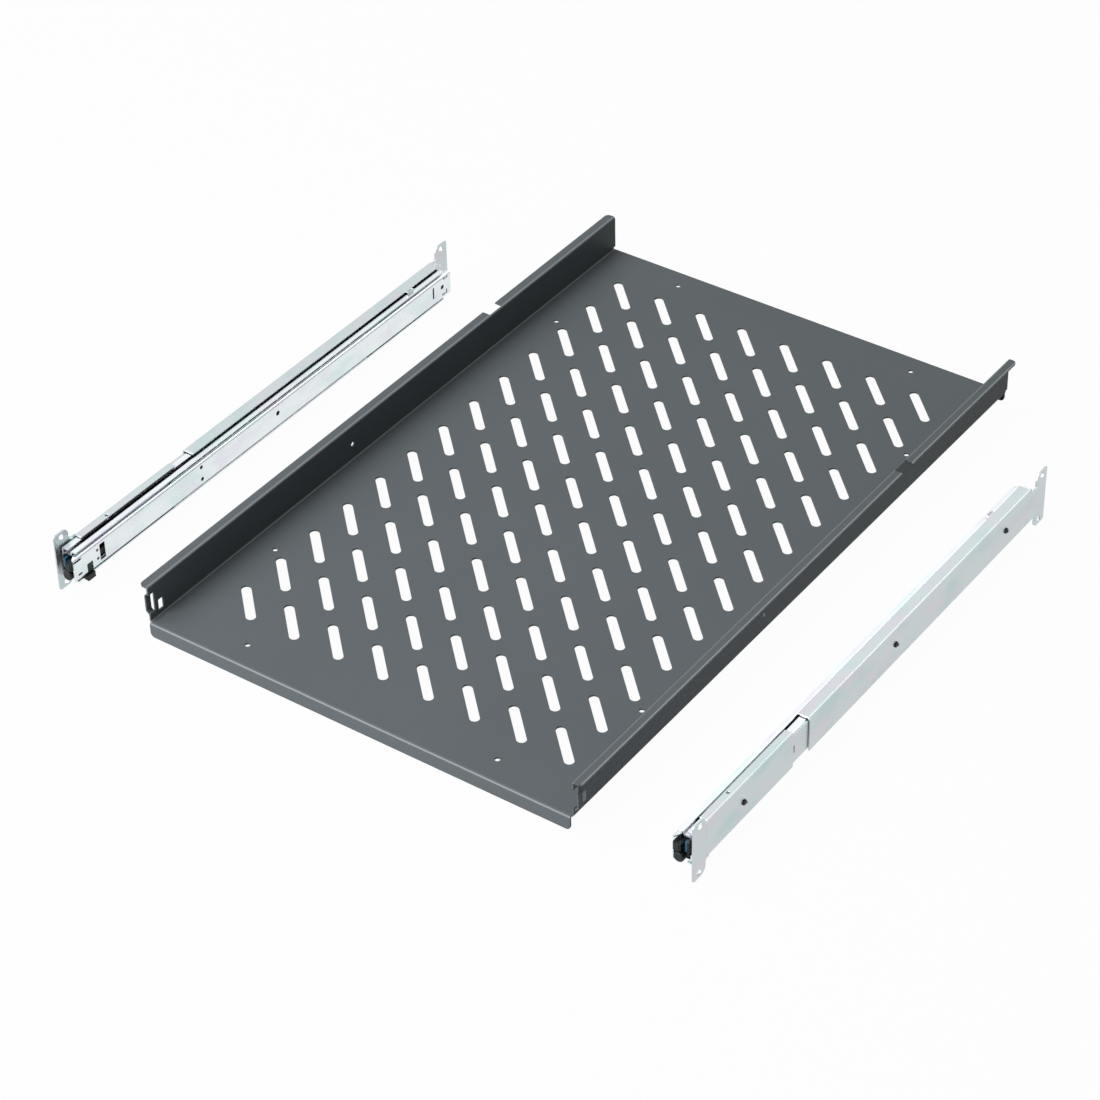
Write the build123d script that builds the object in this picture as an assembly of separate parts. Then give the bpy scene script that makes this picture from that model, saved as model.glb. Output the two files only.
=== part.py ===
# Sliding rack shelf: a perforated tray and two telescopic slide sets standing beside it.
# Millimetres. X runs across the shelf, the front faces -Y, Z is up, the ground is Z = 0.
from build123d import *
import math
import os

os.makedirs("parts", exist_ok=True)

# Tray
slot_pitch = 44.0
slots_across = 8
slots_deep = 13
slot_length = 44.5
slot_width = 8.3
slot_slant = 45.0
sheet = 1.5
bend_radius = 1.75
tray_half_width = 204.8
front_margin = 63.6
rear_margin = 61.7
wall_top = 33.5
wall_set_back = 2.6
flange_width = 7.4
flange_tip_radius = 4.0
flange_notch_at = 134.0
flange_notch_length = 18.0
front_lip_drop = 13.5
rear_lip_drop = 11.0
lip_end_margin = 1.8
lip_corner = 4.0
fixing_hole = 4.5
end_hole_at = 121.0
end_hole_beyond = 41.4
side_hole_inset = 25.1
side_hole_at = 198.4
wall_hole_at = -64.0
wall_hole_height = 14.5

# Recess, hook and window at the front of each wall, measured back from the tray's front
recess_depth = 8.9
recess_low = 7.0
recess_high = 25.4
hook_gap = 2.4
hook_foot = 4.4
hook_rise = 3.6
hook_high = 22.8
hook_bend = 1.2
hook_set_back = 3.3
hook_length = 5.4
latch_window_from = 12.8
latch_window_length = 6.0
latch_window_low = 4.0
latch_window_high = 14.5

# Slide section, measured outwards from the face that meets the tray (u) and from mid height (w)
slide_height_centre = 12.55
member_sheet = 1.2
inner_half_height = 11.5
inner_depth = 4.6
inner_bend = 1.6
inner_taper = 5.0
middle_lip_at = 2.0
middle_race_half = 11.6
middle_lip_half = 15.2
middle_step_at = 6.4
middle_web_at = 13.2
outer_half_height = 15.5
outer_back = 16.1
member_bend = 1.0
channel_edge = 9.4
bracket_sheet = 1.2
bracket_half_height = 17.4
plate_clearance = 0.3
ball_clearance = 0.1
cage_clearance = 0.3
cage_sheet = 0.5
cage_hole_clearance = 0.3

# Slide lengths along Y
inner_behind_front = 4.3
member_behind_inner = 5.3
outer_length = 499.0
inner_beyond_outer = 0.7
bumper_clearance = 1.0
travel = 230.0
depth_setting = 30.0
cage_end_margin = 2.0
cage_behind_front = 118.0
balls_per_row = 12
ball_pitch = 20.0

# Punched features of the inner member, measured back from its front end or forward from its rear end
notch_length = 9.5
notch_width = 2.0
notch_up = 8.1
small_slot_from = 4.0
small_slot_length = 5.0
small_slot_width = 1.8
small_slot_down = 5.9
lever_window_from = 15.0
lever_window_length = 6.9
lever_window_top = -2.0
big_window_from = 31.0
big_window_length = 6.3
big_window_half = 7.75
dot_hole = 2.8
dot_from = 28.2
dot_apart = 8.2
rivet_hole = 3.6
rivet_from = 158.8
rivet_apart = 12.0
rear_slot_from = 25.2
rear_slot_length = 12.0
rear_slot_width = 2.0
rear_slot_up = 1.4
rear_hole = 4.4
rear_hole_from = 12.2
rear_hole_up = 1.1
top_slot_from = 7.3
top_slot_length = 6.8
top_slot_up = 8.5
hook_cut_from = 6.1
hook_cut_length = 7.6
hook_cut_height = 4.4
hook_cut_low = -8.0
hook_cut_width = 1.6

# Bumpers and latch
bumper_ahead = 2.4
bumper_behind = 12.0
bumper_depth = 8.2
bumper_low = 0.6
bumper_high = 7.0
peg_at = 6.6
peg_level = -5.4
peg_radius = 4.5
insert_ahead = 4.0
insert_from = 9.8
insert_low = -0.4
insert_high = 8.6
cover_from = 12.0
cover_low = -5.0
cover_high = 10.0
insert_plug_length = 12.0
plug_clearance = 0.4
head_overhang = 0.4
rear_bumper_length = 6.0
rear_bumper_half = 9.0
lever_pivot_from = 53.3
lever_gap = 0.4
lever_thickness = 2.0
lever_boss = 3.6
lever_arm_low = -4.0
lever_arm_high = 1.6
lever_leg_width = 5.0
lever_leg_from = 15.3
lever_set_in = 0.2
pad_from = 12.0
pad_length = 9.8
pad_low = -17.4
pad_high = -11.9
pad_reach = 1.5
pin_radius = 1.5
pin_clearance = 0.05
pin_head_radius = 2.4
pin_head = 0.5

# Brackets and mounting ears; the ears suit the rack's 44.45 mm hole spacing
ear_height = 54.0
ear_width = 16.5
ear_hole_spacing = 44.45
ear_hole = 5.5
ear_far_corner = 6.0
ear_near_corner = 2.0
ear_ahead = 0.8
joggle_length = 3.0
channel_length = 132.0
tongue_short_of_end = 9.0
tongue_low = -11.6
tongue_high = 15.0
rear_bracket_length = 341.0
rear_bracket_short_of_end = 5.0
rear_web_low = -14.2
rear_ear_beyond = 19.5
rear_bracket_top = 17.7
rear_flange_edge = 7.4
tab_from_end = 50.0
tab_length = 8.0
tab_reach = 3.0
tab_hole_length = 5.6
tab_hole_width = 1.4
tongue_slot_from = 132.4
tongue_slot_width = 1.6
tongue_slot_low = -2.7
tongue_slot_high = 4.9
top_dot_from = 50.0
top_dot_hole = 3.0
pilot_hole = 2.2
pilot_behind = 4.9
pilot_down = 4.0

# Screws and nuts
front_screw_from = 64.0
rear_screw_from_end = 46.4
rear_screw_spacing = 173.5
clamp_level = 3.2
screw_shank = 2.9
screw_hole = 3.2
screw_head_radius = 2.5
screw_head = 1.4
screw_socket = 2.0
screw_socket_depth = 0.8
nut_side = 6.0
nut_thickness = 0.85
nut_way = 1.0

# Where the two sets stand beside the tray
right_stand_off = 85.6
left_stand_off = 79.2

# Derived positions
grid_half_x = slot_pitch * (slots_across - 1) / 2
grid_half_y = slot_pitch * (slots_deep - 1) / 2
tray_front = -grid_half_y - front_margin
tray_rear = grid_half_y + rear_margin
bend_outer = bend_radius + sheet / 2
set_depth = outer_back + bracket_sheet + plate_clearance + bracket_sheet
shift_x = (left_stand_off - right_stand_off) / 2
right_face = tray_half_width + right_stand_off
left_face = tray_half_width + left_stand_off
inner_front = tray_front + inner_behind_front
member_front = inner_front + member_behind_inner
outer_rear = member_front + outer_length
inner_rear = outer_rear + inner_beyond_outer
middle_rear = outer_rear - rear_bumper_length - bumper_clearance
middle_length = middle_rear - member_front
front_screw_at = member_front + front_screw_from
rear_screw_at = outer_rear - rear_screw_from_end
rear_screws_at = (rear_screw_at - rear_screw_spacing, rear_screw_at)
tongue_from = member_front + channel_length
rear_bracket_end = outer_rear - rear_bracket_short_of_end
ear_centre = ear_height / 2 - front_lip_drop - slide_height_centre
ear_front = inner_front - ear_ahead
rear_ear_back = outer_rear + rear_ear_beyond
shift_y = -(tray_front + max(tray_rear, rear_ear_back)) / 2
lever_pivot = inner_front + lever_pivot_from
nut_inner = outer_back - plate_clearance - nut_thickness
cage_front = member_front + cage_behind_front
cage_length = middle_length - travel - cage_end_margin
ball_rows = [cage_front + ball_pitch * (step + 1) for step in range(balls_per_row)]
inner_ball_at = (middle_lip_at + inner_depth) / 2
inner_ball_level = (inner_half_height + middle_lip_half - member_sheet) / 2
inner_ball = (middle_lip_half - member_sheet - inner_half_height) / 2 - ball_clearance
outer_ball_at = (channel_edge + middle_web_at) / 2
outer_ball_level = (middle_race_half + outer_half_height - member_sheet) / 2
outer_ball = (outer_half_height - member_sheet - middle_race_half) / 2 - ball_clearance


def unit(a, b):
    length = math.hypot(b[0] - a[0], b[1] - a[1])
    return (b[0] - a[0]) / length, (b[1] - a[1]) / length


def corner_offset(points, index, distance):
    # Mitred point at a sideways distance from one point of an open line.
    count = len(points)
    before = unit(points[max(index - 1, 0)], points[max(index, 1)])
    after = unit(points[min(index, count - 2)], points[min(index + 1, count - 1)])
    side_a = (-before[1], before[0])
    side_b = (-after[1], after[0])
    scale = distance / (1 + side_a[0] * side_b[0] + side_a[1] * side_b[1])
    x, y = points[index]
    return x + (side_a[0] + side_b[0]) * scale, y + (side_a[1] + side_b[1]) * scale


def rounded_face(points, radii):
    # Face inside a closed outline whose corners carry the given radii.
    edges = []
    start = None
    last = None
    count = len(points)
    for index, point in enumerate(points):
        back = unit(point, points[index - 1])
        ahead = unit(point, points[(index + 1) % count])
        radius = radii[index]
        if radius <= 0:
            first = second = point
        else:
            cosine = back[0] * ahead[0] + back[1] * ahead[1]
            half = math.acos(max(-1.0, min(1.0, cosine))) / 2
            reach = radius / math.tan(half)
            first = (point[0] + back[0] * reach, point[1] + back[1] * reach)
            second = (point[0] + ahead[0] * reach, point[1] + ahead[1] * reach)
        if last is not None and math.dist(last, first) > 1e-6:
            edges.append(Line(last, first))
        if radius > 0:
            middle = (back[0] + ahead[0], back[1] + ahead[1])
            size = math.hypot(*middle)
            far = radius / math.sin(half) - radius
            bulge = (point[0] + middle[0] / size * far, point[1] + middle[1] / size * far)
            edges.append(ThreePointArc(first, bulge, second))
        if start is None:
            start = first
        last = second
    if math.dist(last, start) > 1e-6:
        edges.append(Line(last, start))
    return make_face(edges)


def strip_face(points, thickness, radius):
    # Section of a bent sheet that follows a centre line, every bend with the same radius.
    left = [corner_offset(points, index, thickness / 2) for index in range(len(points))]
    right = [corner_offset(points, index, -thickness / 2) for index in range(len(points))]
    turns = [0.0]
    for index in range(1, len(points) - 1):
        a = unit(points[index - 1], points[index])
        b = unit(points[index], points[index + 1])
        turns.append(a[0] * b[1] - a[1] * b[0])
    turns.append(0.0)
    left_radii = [0 if turn == 0 else radius - math.copysign(thickness / 2, turn) for turn in turns]
    right_radii = [0 if turn == 0 else radius + math.copysign(thickness / 2, turn) for turn in turns]
    return rounded_face(left + right[::-1], left_radii + right_radii[::-1])


def along_y(face, start, stop):
    # Section drawn as (x, z), run along Y.
    plane = Plane(origin=(0, start, 0), x_dir=(1, 0, 0), z_dir=(0, -1, 0))
    return extrude(plane * face, amount=-(stop - start))


def along_x(face, start, stop):
    # Section drawn as (y, z), run along X.
    plane = Plane(origin=(start, 0, 0), x_dir=(0, 1, 0), z_dir=(1, 0, 0))
    return extrude(plane * face, amount=stop - start)


def block(x, y, z):
    # Box between pairs of limits.
    size = (x[1] - x[0], y[1] - y[0], z[1] - z[0])
    middle = ((x[0] + x[1]) / 2, (y[0] + y[1]) / 2, (z[0] + z[1]) / 2)
    return Pos(*middle) * Box(*size)


def rod_x(radius, x, y, z):
    # Round bar along X between two limits.
    return Pos((x[0] + x[1]) / 2, y, z) * Rot(0, 90, 0) * Cylinder(radius, x[1] - x[0])


def slot_x(x, y, z, width):
    # Round-ended slot cutter through X; its long side follows the longer of y and z.
    tall = z[1] - z[0] > y[1] - y[0]
    length = max(z[1] - z[0], y[1] - y[0])
    face = SlotOverall(length, width)
    turned = Rot(0, 0, 90) * face if tall else face
    middle = Pos((y[0] + y[1]) / 2, (z[0] + z[1]) / 2, 0)
    return along_x(middle * turned, x[0], x[1])


def tray_hook(side):
    # Hook that leans out of the wall's foot and stands upright in front of the recess.
    wall = tray_half_width - sheet / 2
    reach = wall + sheet + hook_gap
    line = [(wall, hook_foot), (reach, hook_foot + hook_rise), (reach, hook_high)]
    section = strip_face(line, sheet, hook_bend)
    start = tray_front + hook_set_back
    hook = along_y(section, start, start + hook_length)
    return hook if side > 0 else mirror(hook, about=Plane.YZ)


def turned_lips(low):
    # The two turned-down lips, each with rounded lower corners.
    half_lip = tray_half_width - lip_end_margin
    hold = bend_outer * 3
    for y, inward, drop in ((tray_front, 1, front_lip_drop), (tray_rear, -1, rear_lip_drop)):
        plane_y = y + inward * sheet / 2
        line = [(plane_y + inward * hold, low), (plane_y, low), (plane_y, -drop)]
        piece = along_x(strip_face(line, sheet, bend_radius), -half_lip, half_lip)
        ends = piece.edges().filter_by(Axis.Y)
        low_ends = [e for e in ends if abs(e.center().X) > half_lip - 0.1 and e.center().Z < -drop + 0.1]
        yield fillet(low_ends, min(lip_corner, (drop - bend_outer) / 2))


def tray():
    wall = tray_half_width - sheet / 2
    edge = tray_half_width + flange_width
    top = wall_top - sheet / 2
    low = -sheet / 2
    line = [(-edge, top), (-wall, top), (-wall, low), (wall, low), (wall, top), (edge, top)]
    body = along_y(strip_face(line, sheet, bend_radius), tray_front + bend_outer, tray_rear - bend_outer)
    for side in (-1, 1):
        upper = [(side * wall, bend_radius + sheet / 6), (side * wall, top), (side * edge, top)]
        body += along_y(strip_face(upper, sheet, bend_radius), tray_front + wall_set_back, tray_rear)
    for lip in turned_lips(low):
        body += lip
    cutters = []
    for across in range(slots_across):
        for deep in range(slots_deep):
            x = across * slot_pitch - grid_half_x
            y = deep * slot_pitch - grid_half_y
            slot = Pos(x, y, -sheet * 2) * Rot(0, 0, -slot_slant) * SlotOverall(slot_length, slot_width)
            cutters.append(extrude(slot, amount=sheet * 3))
    end_holes = (end_hole_at, grid_half_y + end_hole_beyond)
    side_holes = (tray_half_width - side_hole_inset, side_hole_at)
    for x, y in (end_holes, side_holes):
        for turn_x in (-1, 1):
            for turn_y in (-1, 1):
                cutters.append(Pos(turn_x * x, turn_y * y, 0) * Cylinder(fixing_hole / 2, sheet * 4))
    recess = (tray_front, tray_front + recess_depth)
    window = (tray_front + latch_window_from, tray_front + latch_window_from + latch_window_length)
    notch = (flange_notch_at, flange_notch_at + flange_notch_length)
    for side in (-1, 1):
        ends = sorted((side * (tray_half_width - 2 * sheet), side * (tray_half_width + sheet)))
        cutters.append(block(ends, recess, (recess_low, recess_high)))
        cutters.append(block(ends, window, (latch_window_low, latch_window_high)))
        cutters.append(rod_x(fixing_hole / 2, ends, wall_hole_at, wall_hole_height))
        outside = sorted((side * tray_half_width, side * (edge + 1)))
        cutters.append(block(outside, notch, (wall_top - 2 * sheet, wall_top + 1)))
    body -= cutters
    body += [tray_hook(-1), tray_hook(1)]
    tips = body.edges().filter_by(Axis.Z).filter_by(lambda e: abs(e.center().X) > edge - 0.1)
    ends = [e for e in tips if min(abs(e.center().Y - tray_rear), abs(e.center().Y - tray_front)) < 4]
    return fillet(ends, flange_tip_radius)


def inner_member():
    half = inner_half_height - member_sheet / 2
    face = member_sheet / 2
    line = [(inner_depth, half), (face, half), (face, -half), (inner_depth, -half)]
    body = along_y(strip_face(line, member_sheet, inner_bend), inner_front, inner_rear)
    slope = inner_taper / (inner_depth - inner_bend)
    far = inner_depth + 1
    deep = inner_front + slope * (far - inner_bend)
    corner = [(inner_bend, inner_front - 1), (far, inner_front - 1), (far, deep), (inner_bend, inner_front)]
    wedge = extrude(rounded_face(corner, [0, 0, 0, 0]), amount=2 * inner_half_height + 2)
    body -= Pos(0, 0, -inner_half_height - 1) * wedge
    through = (-1, member_sheet + 0.3)

    def ahead(start, length):
        return inner_front + start, inner_front + start + length

    def behind(start, length):
        return inner_rear - start, inner_rear - start + length

    notch = (notch_up - notch_width / 2, notch_up + notch_width / 2)
    body -= block(through, ahead(-1, notch_length + 1), notch)
    slot = (-small_slot_down - small_slot_width / 2, -small_slot_down + small_slot_width / 2)
    body -= slot_x(through, ahead(small_slot_from, small_slot_length), slot, small_slot_width)
    lever_cut = (-inner_half_height - 1, lever_window_top)
    body -= block((-1, lever_gap + inner_bend), ahead(lever_window_from, lever_window_length), lever_cut)
    body -= block(through, ahead(big_window_from, big_window_length), (-big_window_half, big_window_half))
    for turn in (-1, 1):
        body -= rod_x(dot_hole / 2, through, inner_front + dot_from, turn * dot_apart / 2)
        body -= rod_x(rivet_hole / 2, through, inner_front + rivet_from, 0.6 + turn * rivet_apart / 2)
    body -= rod_x(fixing_hole / 2, through, wall_hole_at, wall_hole_height - slide_height_centre)
    tall = (rear_slot_up - rear_slot_length / 2, rear_slot_up + rear_slot_length / 2)
    upright = behind(rear_slot_from + rear_slot_width / 2, rear_slot_width)
    body -= slot_x(through, upright, tall, rear_slot_width)
    body -= rod_x(rear_hole / 2, through, inner_rear - rear_hole_from, rear_hole_up)
    level = (top_slot_up - small_slot_width / 2, top_slot_up + small_slot_width / 2)
    flat = behind(top_slot_from + top_slot_length / 2, top_slot_length)
    body -= slot_x(through, flat, level, small_slot_width)
    foot = (hook_cut_low, hook_cut_low + hook_cut_width)
    base = behind(hook_cut_from + hook_cut_length - hook_cut_width / 2, hook_cut_length)
    body -= slot_x(through, base, foot, hook_cut_width)
    stem = (hook_cut_low, hook_cut_low + hook_cut_height)
    riser = behind(hook_cut_from + hook_cut_width / 2, hook_cut_width)
    return body - slot_x(through, riser, stem, hook_cut_width)


def middle_member():
    race = middle_race_half - member_sheet / 2
    lip = middle_lip_half - member_sheet / 2
    line = [(middle_lip_at, lip), (middle_step_at, lip), (middle_step_at, race), (middle_web_at, race)]
    line += [(u, -w) for u, w in line[::-1]]
    return along_y(strip_face(line, member_sheet, member_bend), member_front, middle_rear)


def outer_member():
    half = outer_half_height - member_sheet / 2
    back = outer_back - member_sheet / 2
    line = [(channel_edge, half), (back, half), (back, -half), (channel_edge, -half)]
    body = along_y(strip_face(line, member_sheet, member_bend), member_front, outer_rear)
    through = (outer_back - 2, outer_back + 1)
    body -= rod_x(screw_hole / 2, through, front_screw_at, 0)
    body -= tongue_slot(through)
    way = nut_side / 2 + nut_way
    end_way = way + plate_clearance
    for y in rear_screws_at:
        level = (clamp_level - way, clamp_level + way)
        body -= block(through, (y - end_way, y + depth_setting + end_way), level)
    return body


def tongue_slot(through):
    # Thin upright slot at the step of the front bracket, through bracket and outer member.
    start = member_front + tongue_slot_from
    ends = (start, start + tongue_slot_width)
    return slot_x(through, ends, (tongue_slot_low, tongue_slot_high), tongue_slot_width)


def cage(arm_edge, plate_at, level, ball_at, hole_radius):
    # Ball cage: a thin channel with a row of ball holes in each arm.
    line = [(arm_edge, level), (plate_at, level), (plate_at, -level), (arm_edge, -level)]
    body = along_y(strip_face(line, cage_sheet, cage_sheet), cage_front, cage_front + cage_length)
    holes = [Pos(ball_at, y, 0) * Cylinder(hole_radius, 2 * level + 4) for y in ball_rows]
    return body - holes


def balls(ball_at, level, radius):
    group = [Pos(ball_at, y, w) * Sphere(radius) for y in ball_rows for w in (-level, level)]
    return Compound(children=group)


def front_bumper():
    # Black stop in the front end of the inner member: a block over a round peg.
    length = (inner_front - bumper_ahead, inner_front + bumper_behind)
    head = block((member_sheet, bumper_depth), length, (bumper_low, bumper_high))
    head = fillet(head.edges().filter_by(Axis.Z).sort_by(Axis.Y)[:2], 2.0)
    centre = Pos(peg_at, (length[0] + length[1]) / 2, peg_level)
    peg = centre * Rot(90, 0, 0) * Cylinder(peg_radius, length[1] - length[0])
    peg = fillet(peg.edges().filter_by(GeomType.CIRCLE).sort_by(Axis.Y)[0], 1.2)
    rib_y = (inner_front + bumper_behind / 2, inner_front + bumper_behind)
    return head + peg + block((peg_at - 2, bumper_depth), rib_y, (peg_level, bumper_low + 1))


def latch_insert():
    # Blue catch on the front edge of the middle member, with a plug behind it.
    head_y = (member_front - insert_ahead, member_front)
    head = block((insert_from, cover_from), head_y, (insert_low, insert_high))
    head = fillet(head.edges().filter_by(Axis.Z).sort_by(Axis.X)[:1], 1.0)
    inside = (insert_from + 0.4, middle_web_at - member_sheet / 2 - plug_clearance)
    plug_z = (insert_low + 0.6, insert_high - 0.6)
    return head + block(inside, (member_front, member_front + insert_plug_length), plug_z)


def latch_cover():
    # Black end piece of the middle member, on the rack side of the catch.
    across = (cover_from, middle_web_at + head_overhang)
    body = block(across, (member_front - insert_ahead, member_front), (cover_low, cover_high))
    return fillet(body.edges().filter_by(Axis.X).sort_by(Axis.Y)[:2], 1.5)


def rear_bumper():
    across = (middle_step_at - 0.4, outer_back - member_sheet)
    length = (outer_rear - rear_bumper_length, outer_rear)
    body = block(across, length, (-rear_bumper_half, rear_bumper_half))
    return fillet(body.edges().filter_by(Axis.X), 2.0)


def latch_lever():
    # Arm behind the inner member's web, leg through its window, finger pad below.
    inside = member_sheet + lever_gap
    across = (inside, inside + lever_thickness)
    start = inner_front + lever_leg_from
    leg = (start, start + lever_leg_width)
    top = lever_window_top - lever_gap
    arm = block(across, (leg[0], lever_pivot), (lever_arm_low, lever_arm_high))
    arm += rod_x(lever_boss, across, lever_pivot, 0)
    arm += block((lever_set_in, across[1]), leg, (lever_arm_low - 2.5, top))
    arm += block((lever_set_in, inside), leg, (pad_high - 1.7, top))
    pad_y = (inner_front + pad_from, inner_front + pad_from + pad_length)
    pad = block((-pad_reach, inside), pad_y, (pad_low, pad_high))
    pad = fillet(pad.edges().filter_by(Axis.X).sort_by(Axis.Y)[:2], 2.4)
    return arm + pad - rod_x(pin_radius + pin_clearance, (0, across[1] + 1), lever_pivot, 0)


def lever_pin():
    seat = member_sheet + lever_gap + lever_thickness + plate_clearance
    head = rod_x(pin_head_radius, (seat, seat + pin_head), lever_pivot, 0)
    return head + rod_x(pin_radius, (member_sheet, seat + pin_head / 2), lever_pivot, 0)


def ear_plate(y, rounded_side):
    # Ear outline as (y, w) with its two holes; the side away from the bracket is rounded more.
    low = ear_centre - ear_height / 2
    high = ear_centre + ear_height / 2
    near = ear_near_corner
    far = ear_far_corner
    radii = [near, far, far, near] if rounded_side > 0 else [far, near, near, far]
    outline = [(y[0], low), (y[1], low), (y[1], high), (y[0], high)]
    face = rounded_face(outline, radii)
    for w in (-ear_hole_spacing / 2, ear_hole_spacing / 2):
        face -= Pos((y[0] + y[1]) / 2, ear_centre + w) * Circle(ear_hole / 2)
    return along_x(face, set_depth - bracket_sheet, set_depth)


def front_bracket():
    web = outer_back + bracket_sheet / 2
    half = bracket_half_height - bracket_sheet / 2
    ear_inner = ear_front + ear_width
    step_end = ear_inner + joggle_length
    channel = [(channel_edge, half), (web, half), (web, -half), (channel_edge, -half)]
    body = along_y(strip_face(channel, bracket_sheet, bend_radius), step_end + 2.9, tongue_from)
    plate = (outer_back, outer_back + bracket_sheet)
    tongue_y = (tongue_from - 1, outer_rear - tongue_short_of_end)
    body += block(plate, tongue_y, (tongue_low, tongue_high))
    ear_plane = set_depth - bracket_sheet / 2
    jog = [(web, step_end + 3.9), (web, step_end), (ear_plane, ear_inner), (ear_plane, ear_inner - 3)]
    sweep = extrude(strip_face(jog, bracket_sheet, 1.5), amount=2 * bracket_half_height)
    body += Pos(0, 0, -bracket_half_height) * sweep
    body += ear_plate((ear_front, ear_inner), 1)
    through = (outer_back - 1, outer_back + bracket_sheet + 1)
    body -= rod_x(screw_hole / 2, through, front_screw_at, 0)
    body -= rod_x(pilot_hole / 2, through, front_screw_at + pilot_behind, -pilot_down)
    dot = Pos(channel_edge + 2.6, member_front + top_dot_from, bracket_half_height)
    body -= dot * Cylinder(top_dot_hole / 2, bracket_sheet * 4)
    body -= tongue_slot(through)
    for y in rear_screws_at:
        ends = (y - screw_hole / 2, y + depth_setting + screw_hole / 2)
        level = (clamp_level - screw_hole / 2, clamp_level + screw_hole / 2)
        body -= slot_x(through, ends, level, screw_hole)
    return body


def rear_bracket():
    web = set_depth - bracket_sheet / 2
    top = rear_bracket_top - bracket_sheet / 2
    start = rear_bracket_end - rear_bracket_length
    angle = [(rear_flange_edge, top), (web, top), (web, rear_web_low)]
    body = along_y(strip_face(angle, bracket_sheet, bend_radius), start, rear_bracket_end)
    level = (rear_bracket_top - bracket_sheet, rear_bracket_top)
    tab_start = rear_bracket_end - tab_from_end
    tab = (rear_flange_edge - tab_reach, rear_flange_edge + 1)
    body += block(tab, (tab_start, tab_start + tab_length), level)
    hole = Pos(rear_flange_edge - tab_reach / 2, tab_start + tab_length / 2, top - bracket_sheet)
    slot = Rot(0, 0, 90) * SlotOverall(tab_hole_length, tab_hole_width)
    body -= hole * extrude(slot, amount=bracket_sheet * 2)
    ear_inner = rear_ear_back - ear_width
    neck = (rear_bracket_end - 1, ear_inner + 3)
    body += block((set_depth - bracket_sheet, set_depth), neck, (rear_web_low, top - 2))
    body += ear_plate((ear_inner, rear_ear_back), -1)
    through = (outer_back, set_depth + 2)
    for y in rear_screws_at:
        body -= rod_x(screw_hole / 2, through, y, clamp_level)
        body -= rod_x(pilot_hole / 2, through, y + pilot_behind, clamp_level - pilot_down)
    return body


def button_screw(seat, tip, y, level):
    # Black screw with a domed head and a hexagon socket, head outwards.
    head = rod_x(screw_head_radius, (seat, seat + screw_head), y, level)
    head = fillet(head.edges().filter_by(GeomType.CIRCLE).sort_by(Axis.X)[-1], screw_head * 0.6)
    start = seat + screw_head - screw_socket_depth
    key = RegularPolygon(screw_socket / 2, 6)
    socket = Pos(start, y, level) * Rot(0, 90, 0) * extrude(key, amount=screw_socket_depth + 1)
    return head + rod_x(screw_shank / 2, (tip, seat), y, level) - socket


def square_nut(y):
    across = nut_side / 2
    height = (clamp_level - across, clamp_level + across)
    plate = block((nut_inner, nut_inner + nut_thickness), (y - across, y + across), height)
    return plate - rod_x(screw_shank / 2, (nut_inner - 1, outer_back + 1), y, clamp_level)


outer_inside = outer_back - member_sheet
outer_plate_at = outer_inside - cage_clearance - cage_sheet / 2
inner_plate_at = inner_depth + cage_clearance + cage_sheet / 2
inner_hole = inner_ball + cage_hole_clearance
outer_hole = outer_ball + cage_hole_clearance

slide_parts = {
    "inner_member": inner_member(),
    "middle_member": middle_member(),
    "outer_member": outer_member(),
    "inner_ball_cage": cage(middle_lip_at - 0.6, inner_plate_at, inner_ball_level, inner_ball_at, inner_hole),
    "inner_balls": balls(inner_ball_at, inner_ball_level, inner_ball),
    "outer_ball_cage": cage(channel_edge + 0.1, outer_plate_at, outer_ball_level, outer_ball_at, outer_hole),
    "outer_balls": balls(outer_ball_at, outer_ball_level, outer_ball),
    "front_bumper": front_bumper(),
    "latch_insert": latch_insert(),
    "latch_cover": latch_cover(),
    "rear_bumper": rear_bumper(),
    "latch_lever": latch_lever(),
    "lever_pin": lever_pin(),
    "front_bracket": front_bracket(),
    "front_bracket_screw": button_screw(outer_back + bracket_sheet, outer_inside, front_screw_at, 0),
    "rear_bracket": rear_bracket(),
}
for name, y in zip(("front", "rear"), rear_screws_at):
    slide_parts["clamp_screw_" + name] = button_screw(set_depth, nut_inner, y, clamp_level)
    slide_parts["clamp_nut_" + name] = square_nut(y)


def place(shape, side):
    # Moves one right-hand slide piece to its standing place; the left set is the mirror image.
    height = front_lip_drop + slide_height_centre
    if side > 0:
        return Pos(shift_x + right_face, shift_y, height) * shape
    return Pos(shift_x - left_face, shift_y, height) * mirror(shape, about=Plane.YZ)


export_step(Pos(shift_x, shift_y, front_lip_drop) * tray(), "parts/tray.step")
for name, shape in slide_parts.items():
    export_step(place(shape, 1), "parts/right_" + name + ".step")
    export_step(place(shape, -1), "parts/left_" + name + ".step")
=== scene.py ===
# Sliding rack shelf in a plain studio: a dark painted tray with a zinc plated slide set on each side.
import math

import bmesh
import bpy
from mathutils import Matrix, Vector

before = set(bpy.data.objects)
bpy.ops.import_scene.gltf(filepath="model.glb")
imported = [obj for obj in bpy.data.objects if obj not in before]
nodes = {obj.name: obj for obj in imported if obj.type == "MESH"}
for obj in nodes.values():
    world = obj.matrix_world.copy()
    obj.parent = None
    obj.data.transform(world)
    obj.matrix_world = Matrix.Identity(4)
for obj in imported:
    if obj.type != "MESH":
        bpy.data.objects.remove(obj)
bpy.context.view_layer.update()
scene = bpy.context.scene
print("frame loaded:", len(nodes), "nodes")


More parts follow.
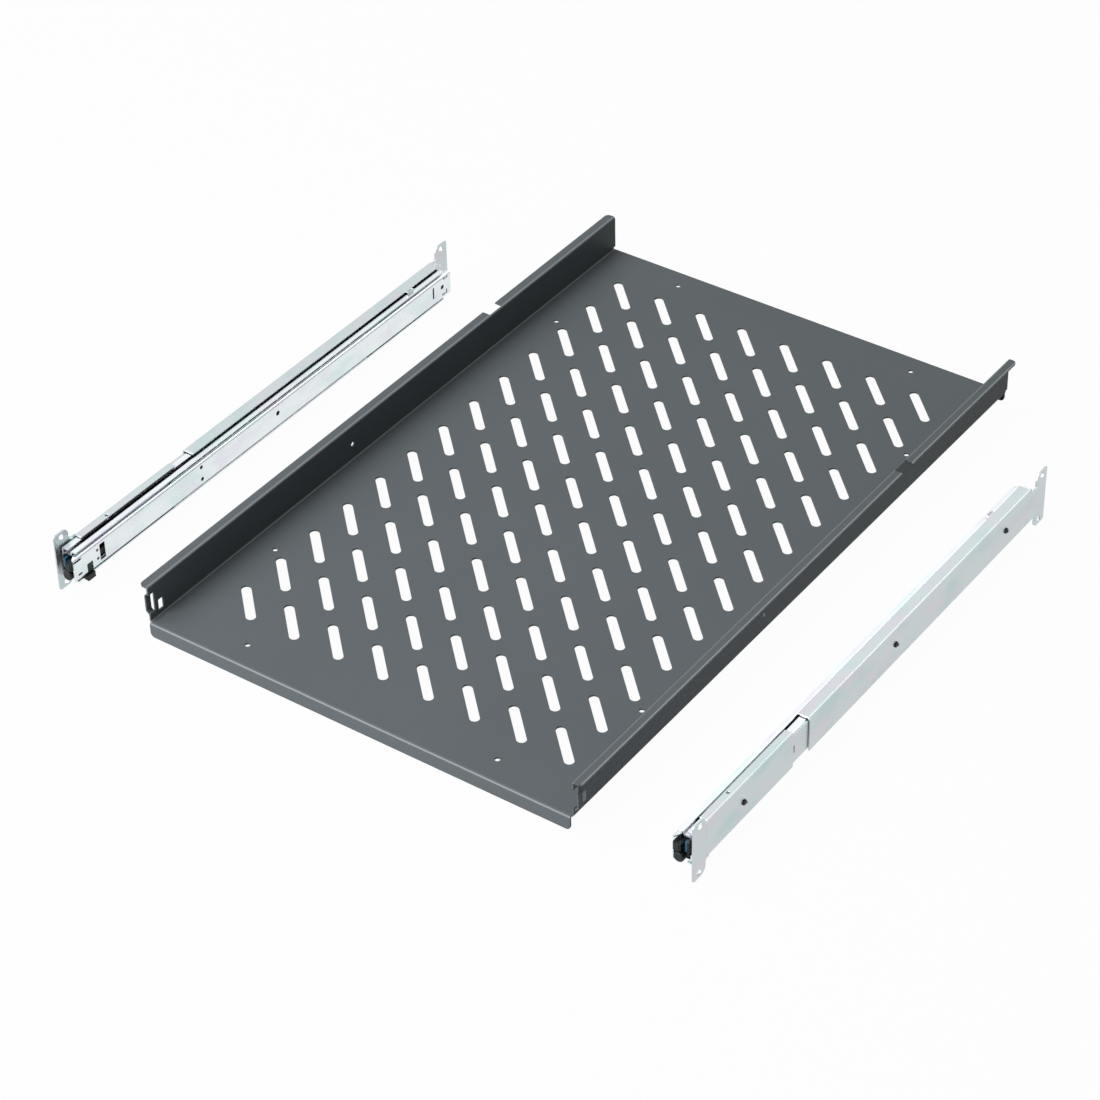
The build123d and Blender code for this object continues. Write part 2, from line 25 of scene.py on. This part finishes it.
class Link:
    # a node socket that can stand in a sum
    def __init__(self, tree, socket):
        self.tree = tree
        self.socket = socket

    def node(self, kind, settings=None, inputs=None, out=0):
        made = self.tree.nodes.new("ShaderNode" + kind)
        for name, value in (settings or {}).items():
            setattr(made, name, value)
        for name, value in (inputs or {}).items():
            if isinstance(value, Link):
                self.tree.links.new(value.socket, made.inputs[name])
            else:
                made.inputs[name].default_value = value
        return Link(self.tree, made.outputs[out])

    def maths(self, operation, first, second=0.0):
        return self.node("Math", {"operation": operation}, {0: first, 1: second})

    def size(self):
        return self.maths("ABSOLUTE", self)

    def along(self, axis):
        return self.node("SeparateXYZ", None, {0: self}, axis)

    def __add__(self, other):
        return self.maths("ADD", self, other)

    def __radd__(self, other):
        return self.maths("ADD", other, self)

    def __sub__(self, other):
        return self.maths("SUBTRACT", self, other)

    def __rsub__(self, other):
        return self.maths("SUBTRACT", other, self)

    def __mul__(self, other):
        return self.maths("MULTIPLY", self, other)

    def __rmul__(self, other):
        return self.maths("MULTIPLY", other, self)

    def clipped(self):
        return self.node("Clamp", None, {0: self})

    def noise(self, scale, detail=2.0, roughness=0.5):
        settings = {"Vector": self, "Scale": scale, "Detail": detail, "Roughness": roughness}
        return self.node("TexNoise", None, settings)

    def stretched(self, scale):
        return self.node("Mapping", None, {"Vector": self, "Scale": scale})

    def blend(self, first, second):
        # self is the share of the second colour
        return self.node("Mix", {"data_type": "RGBA"}, {0: self, 6: first, 7: second}, 2)


def opaque(colour):
    return (*colour, 1.0)


def within(value, ends, slope):
    # 1 between the two ends, with a soft step at each
    return ((value - ends[0]) * slope).clipped() * ((ends[1] - value) * slope).clipped()


def newMaterial(name, plain):
    # plain holds what is the same all over the surface
    material = bpy.data.materials.new(name)
    material.use_nodes = True
    tree = material.node_tree
    shader = tree.nodes["Principled BSDF"]
    for socket, value in plain.items():
        shader.inputs[socket].default_value = value
    place = tree.nodes.new("ShaderNodeTexCoord")
    return material, shader, Link(tree, place.outputs["Object"])


def feed(shader, sockets):
    for name, link in sockets.items():
        link.tree.links.new(link.socket, shader.inputs[name])


def bump(height, strength, edge):
    # edge is the radius that cut edges catch the light with, 0 leaves them sharp
    inputs = {"Height": height, "Distance": 1.0, "Strength": strength}
    if edge:
        inputs["Normal"] = height.node("Bevel", {"samples": 4}, {"Radius": edge})
    return height.node("Bump", None, inputs)


# studio camera, where the picture was taken from
camera = {
    "place": (1.27751, -1.81963, 1.69919),
    "azimuth": 35.4176,
    "elevation": 37.9605,
    "roll": -0.98495,
    "lens": 110.63,
    "shift": -0.03004,
    "nearest": 0.05,
    "farthest": 60,
}


def makeCamera(c):
    turn, tilt, roll = (math.radians(c[name]) for name in ("azimuth", "elevation", "roll"))
    ahead = Vector((-math.sin(turn) * math.cos(tilt), math.cos(turn) * math.cos(tilt), -math.sin(tilt)))
    across = Vector((math.cos(turn), math.sin(turn), 0))
    up = across.cross(ahead)
    level = across * math.cos(roll) + up * math.sin(roll)
    tall = up * math.cos(roll) - across * math.sin(roll)
    data = bpy.data.cameras.new("studioCamera")
    data.lens = c["lens"]
    data.shift_x = c["shift"]
    data.clip_start, data.clip_end = c["nearest"], c["farthest"]
    made = bpy.data.objects.new("studioCamera", data)
    scene.collection.objects.link(made)
    made.matrix_world = Matrix.Translation(c["place"]) @ Matrix((level, tall, -ahead)).transposed().to_4x4()
    scene.camera = made


makeCamera(camera)
print("camera placed")

# pale studio floor and soft light
studio = {
    "floorHalf": 9.0,
    "floorColour": (0.45, 0.45, 0.45),
    "floorRoughness": 0.9,
    "whiteShare": 0.97,
    "worldLight": 0.20,
    "lamps": {
        "topLamp": {"power": 94.0, "size": 2.6, "place": (-1.1, -0.9, 2.6)},
        "frontLamp": {"power": 78.0, "size": 1.6, "place": (-0.7, -2.6, 0.6)},
        "rearLamp": {"power": 7.0, "size": 0.9, "place": (0.15, 2.2, 2.6)},
    },
}


def seenDirectly(tree):
    # 1 for what the camera sees, also by way of a reflection or through glass
    path = tree.nodes.new("ShaderNodeLightPath")
    rays = ("Is Camera Ray", "Is Glossy Ray", "Is Transmission Ray")
    direct, glossy, glass = (Link(tree, path.outputs[name]) for name in rays)
    return (direct + glossy + glass).clipped()


def makeFloor(s):
    mesh = bmesh.new()
    bmesh.ops.create_grid(mesh, x_segments=1, y_segments=1, size=s["floorHalf"])
    data = bpy.data.meshes.new("studioFloor")
    mesh.to_mesh(data)
    mesh.free()
    floor = bpy.data.objects.new("studioFloor", data)
    scene.collection.objects.link(floor)
    material = bpy.data.materials.new("studioFloor")
    material.use_nodes = True
    tree = material.node_tree
    shader = tree.nodes["Principled BSDF"]
    shader.inputs["Base Color"].default_value = opaque(s["floorColour"])
    shader.inputs["Roughness"].default_value = s["floorRoughness"]
    shader.inputs["Specular IOR Level"].default_value = 0.0
    white = tree.nodes.new("ShaderNodeEmission")
    mixed = tree.nodes.new("ShaderNodeMixShader")
    share = seenDirectly(tree) * s["whiteShare"]
    tree.links.new(share.socket, mixed.inputs[0])
    tree.links.new(shader.outputs[0], mixed.inputs[1])
    tree.links.new(white.outputs[0], mixed.inputs[2])
    tree.links.new(mixed.outputs[0], tree.nodes["Material Output"].inputs["Surface"])
    data.materials.append(material)


def makeLamp(name, s):
    data = bpy.data.lights.new(name, "AREA")
    data.energy = s["power"]
    data.size = s["size"]
    lamp = bpy.data.objects.new(name, data)
    scene.collection.objects.link(lamp)
    lamp.location = s["place"]
    lamp.rotation_euler = (-Vector(s["place"])).to_track_quat("-Z", "Y").to_euler()


def makeWorld(s):
    world = bpy.data.worlds.new("studioWorld")
    world.use_nodes = True
    tree = world.node_tree
    strength = s["worldLight"] + seenDirectly(tree) * (1 - s["worldLight"])
    tree.links.new(strength.socket, tree.nodes["Background"].inputs["Strength"])
    tree.nodes["Background"].inputs["Color"].default_value = (1, 1, 1, 1)
    scene.world = world


makeFloor(studio)
makeWorld(studio)
for lampName, lampValues in studio["lamps"].items():
    makeLamp(lampName, lampValues)
scene.view_settings.view_transform = "Standard"
print("studio built")

# dark grey powder coat with a fine orange-peel texture
trayPaint = {
    "colour": (0.086, 0.098, 0.105),
    "paler": (0.103, 0.116, 0.123),
    # the bend colour is a painted highlight for the lines along the tray's bends and right flange edge
    "bend": (0.25, 0.27, 0.28),
    "shine": 0.05,
    "gloss": 0.40,
    "glossSpread": 0.10,
    "cloudScale": 7.0,
    "cloudShare": 0.75,
    "grainScale": 1150.0,
    "grainHeight": 0.00005,
    "peelScale": 330.0,
    "peelHeight": 0.00004,
    "relief": 0.8,
    "edge": 0.0007,
}

# where the painted highlight lines along the bends and the right flange edge lie and how strong, stronger
# on the lit side, in metres from the tray's middle line, the ground and the origin
bendHighlights = {
    "leftBend": {"across": (-0.2056, -0.2036), "up": (0.0450, 0.0480), "share": 0.75},
    "rightBend": {"across": (0.2036, 0.2056), "up": (0.0450, 0.0480), "share": 0.2},
    "rightEdge": {"across": (0.2106, 0.2130), "up": (0.0450, 0.0480), "share": 0.8},
    "leftFoot": {"across": (-0.2034, -0.2022), "up": (0.0130, 0.0149), "share": 0.75},
    "frontBend": {"back": (-0.3270, -0.3256), "up": (0.0118, 0.0136), "share": 0.75},
}
trayMiddle = -0.0032
highlightStep = 3000


# how much painted highlight each place on the tray gets
def highlightShare(place):
    reach = {"across": place.along(0) - trayMiddle, "back": place.along(1), "up": place.along(2)}
    highlight = 0.0
    for t in bendHighlights.values():
        line = t["share"]
        for name, value in reach.items():
            if name in t:
                line = within(value, t[name], highlightStep) * line
        highlight = line + highlight
    return highlight.clipped()


def paintMaterial(p):
    material, shader, place = newMaterial("trayPaint", {"Specular IOR Level": p["shine"]})
    cloud = place.noise(p["cloudScale"], 4.0)
    speck = place.noise(p["grainScale"])
    peel = place.noise(p["peelScale"])
    pale = cloud * p["cloudShare"] + speck * (1 - p["cloudShare"])
    colour = pale.blend(opaque(p["colour"]), opaque(p["paler"]))
    # painted highlight lines along the bends and the right flange edge
    colour = highlightShare(place).blend(colour, opaque(p["bend"]))
    rough = p["gloss"] + (cloud - 0.5) * p["glossSpread"] + (speck - 0.5) * p["glossSpread"]
    height = speck * p["grainHeight"] + peel * p["peelHeight"]
    feed(shader, {"Base Color": colour, "Roughness": rough, "Normal": bump(height, p["relief"], p["edge"])})
    return material


# bright zinc plate on the slide members, greyer on the brackets
memberTint = {
    "base": (0.82, 0.87, 0.88),
    "cool": (0.68, 0.81, 0.80),
    "warm": (0.77, 0.75, 0.84),
    "rough": 0.33,
    "edge": 0,
}
bracketTint = {
    "base": (0.56, 0.62, 0.63),
    "cool": (0.46, 0.58, 0.59),
    "warm": (0.61, 0.58, 0.63),
    "rough": 0.36,
    "edge": 0.0009,
}

# the plate is drawn along the slide and has a faint rainbow film in patches
zincFilm = {
    "drawn": {"scale": (700.0, 14.0, 700.0), "share": 0.3, "spread": 0.06},
    "cool": {"scale": (50.0, 24.0, 50.0), "from": 0.48, "share": 0.8, "spread": 0.10},
    "warm": {"scale": (62.0, 31.0, 62.0), "from": 0.47, "share": 0.75},
    "dull": {"scale": 160.0, "spread": 0.02},
    "slope": 5.0,
    "height": 0.0000012,
    "relief": 0.5,
}

# painted shade in each slide's races and recesses, out and up in metres from its tray side and mid height
slideAt = {"face": 0.2872, "level": 0.02605, "front": -0.306}
racesShade = {
    "colour": (0.018, 0.028, 0.031),
    "rough": 0.55,
    "frontEnd": 0.075,
    "lighterStretch": (-0.294, -0.190),
    "lighterStretchShare": 0.8,
    "sharpStep": 5000,
    "softStep": 150,
    "sideStep": 50,
}
# where the painted shade lies on each member
shadedRaces = {
    "middle_member": {"out": (0.0066, 0.0129), "rise": (0.0070, 0.0300)},
    "outer_member": {"out": (-0.0100, 0.0152), "rise": (0.0070, 0.0131)},
}


def racesShadeShare(place, g, t):
    # the painted shade covers the front end all over, and is lighter on the right set for a part of its
    # length
    low, high = g["rise"]
    out = place.along(0).size() - slideAt["face"]
    rise = (place.along(2) - slideAt["level"]).size()
    back = place.along(1) - slideAt["front"]
    races = ((rise - low) * t["sharpStep"]).clipped() + ((t["frontEnd"] - back) * t["softStep"]).clipped()
    below = ((high - rise) * t["sharpStep"]).clipped()
    band = within(out, g["out"], t["sharpStep"]) * races.clipped() * below
    rightSide = (place.along(0) * t["sideStep"]).clipped()
    lighterStretch = within(place.along(1), t["lighterStretch"], t["softStep"]) * rightSide
    return band * (back * t["softStep"]).clipped() * (1 - lighterStretch * t["lighterStretchShare"])


def zincMaterial(name, z, shadeBand=None):
    material, shader, place = newMaterial(name, {"Metallic": 1.0})
    lines, coolFilm, warmFilm, slope = (zincFilm[key] for key in ("drawn", "cool", "warm", "slope"))
    drawn = place.stretched(lines["scale"]).noise(1.0)
    patch = place.stretched(coolFilm["scale"]).noise(1.0)
    film = place.stretched(warmFilm["scale"]).noise(1.0)
    cool = ((patch - coolFilm["from"]) * slope).clipped() * coolFilm["share"]
    warm = ((film - warmFilm["from"]) * slope).clipped() * warmFilm["share"]
    colour = warm.blend(cool.blend(opaque(z["base"]), opaque(z["cool"])), opaque(z["warm"]))
    colour = ((drawn - 0.5) * lines["share"]).clipped().blend(colour, opaque(z["cool"]))
    dull = place.noise(zincFilm["dull"]["scale"])
    rough = z["rough"] + (drawn - 0.5) * lines["spread"] + (patch - 0.5) * coolFilm["spread"]
    rough = rough + (dull - 0.5) * zincFilm["dull"]["spread"]
    # painted shade darkens the races, which are also made rougher
    if shadeBand:
        share = racesShadeShare(place, shadeBand, racesShade)
        colour = share.blend(colour, opaque(racesShade["colour"]))
        rough = rough + share * (racesShade["rough"] - z["rough"])
    relief = bump(drawn * zincFilm["height"], zincFilm["relief"], z["edge"])
    feed(shader, {"Base Color": colour, "Roughness": rough, "Normal": relief})
    return material


# moulded plastics, black oxide screws and the balls
smallFinish = {
    "blackPlastic": {
        "colour": (0.004, 0.007, 0.008), "paler": (0.012, 0.016, 0.017),
        "rough": 0.40, "metal": 0.0, "grain": 900.0, "height": 0.00003,
    },
    "bluePlastic": {
        "colour": (0.010, 0.050, 0.095), "paler": (0.024, 0.090, 0.150),
        "rough": 0.34, "metal": 0.0, "grain": 700.0, "height": 0.00002,
    },
    "blackOxide": {
        "colour": (0.012, 0.013, 0.014), "paler": (0.035, 0.036, 0.038),
        "rough": 0.38, "metal": 0.6, "grain": 1500.0, "height": 0.00002,
    },
    "ballSteel": {
        "colour": (0.58, 0.58, 0.60), "paler": (0.72, 0.72, 0.73),
        "rough": 0.12, "metal": 1.0, "grain": 1800.0, "height": 0.000002,
    },
}
smallWear = {
    "shine": 0.25,
    "scale": 160.0,
    "share": 0.7,
    "spread": 0.18,
    "speckSpread": 0.08,
    "relief": 0.8,
    "edge": 0.0004,
}


def smallMaterial(name, s, w):
    material, shader, place = newMaterial(name, {"Metallic": s["metal"], "Specular IOR Level": w["shine"]})
    speck = place.noise(s["grain"])
    wear = place.noise(w["scale"], 4.0, 0.6)
    colour = (wear * w["share"] + speck * (1 - w["share"])).blend(opaque(s["colour"]), opaque(s["paler"]))
    rough = s["rough"] + (wear - 0.5) * w["spread"] + (speck - 0.5) * w["speckSpread"]
    relief = bump(speck * s["height"], w["relief"], w["edge"])
    feed(shader, {"Base Color": colour, "Roughness": rough, "Normal": relief})
    return material


def dress():
    member = zincMaterial("memberZinc", memberTint)
    small = {name: smallMaterial(name, values, smallWear) for name, values in smallFinish.items()}
    finishes = {
        "bracket": zincMaterial("bracketZinc", bracketTint),
        "middle_member": zincMaterial("middleZinc", memberTint, shadedRaces["middle_member"]),
        "outer_member": zincMaterial("outerZinc", memberTint, shadedRaces["outer_member"]),
        "bumper": small["blackPlastic"],
        "latch_lever": small["blackPlastic"],
        "latch_cover": small["blackPlastic"],
        "latch_insert": small["bluePlastic"],
        "screw": small["blackOxide"],
        "balls": small["ballSteel"],
        "tray": paintMaterial(trayPaint),
    }
    # the last word found in a node's name decides, anything else is a plain zinc member
    for name, thing in nodes.items():
        finish = member
        for word, value in finishes.items():
            if word in name:
                finish = value
        thing.data.materials.clear()
        thing.data.materials.append(finish)


dress()
print("materials given to", len(nodes), "nodes")
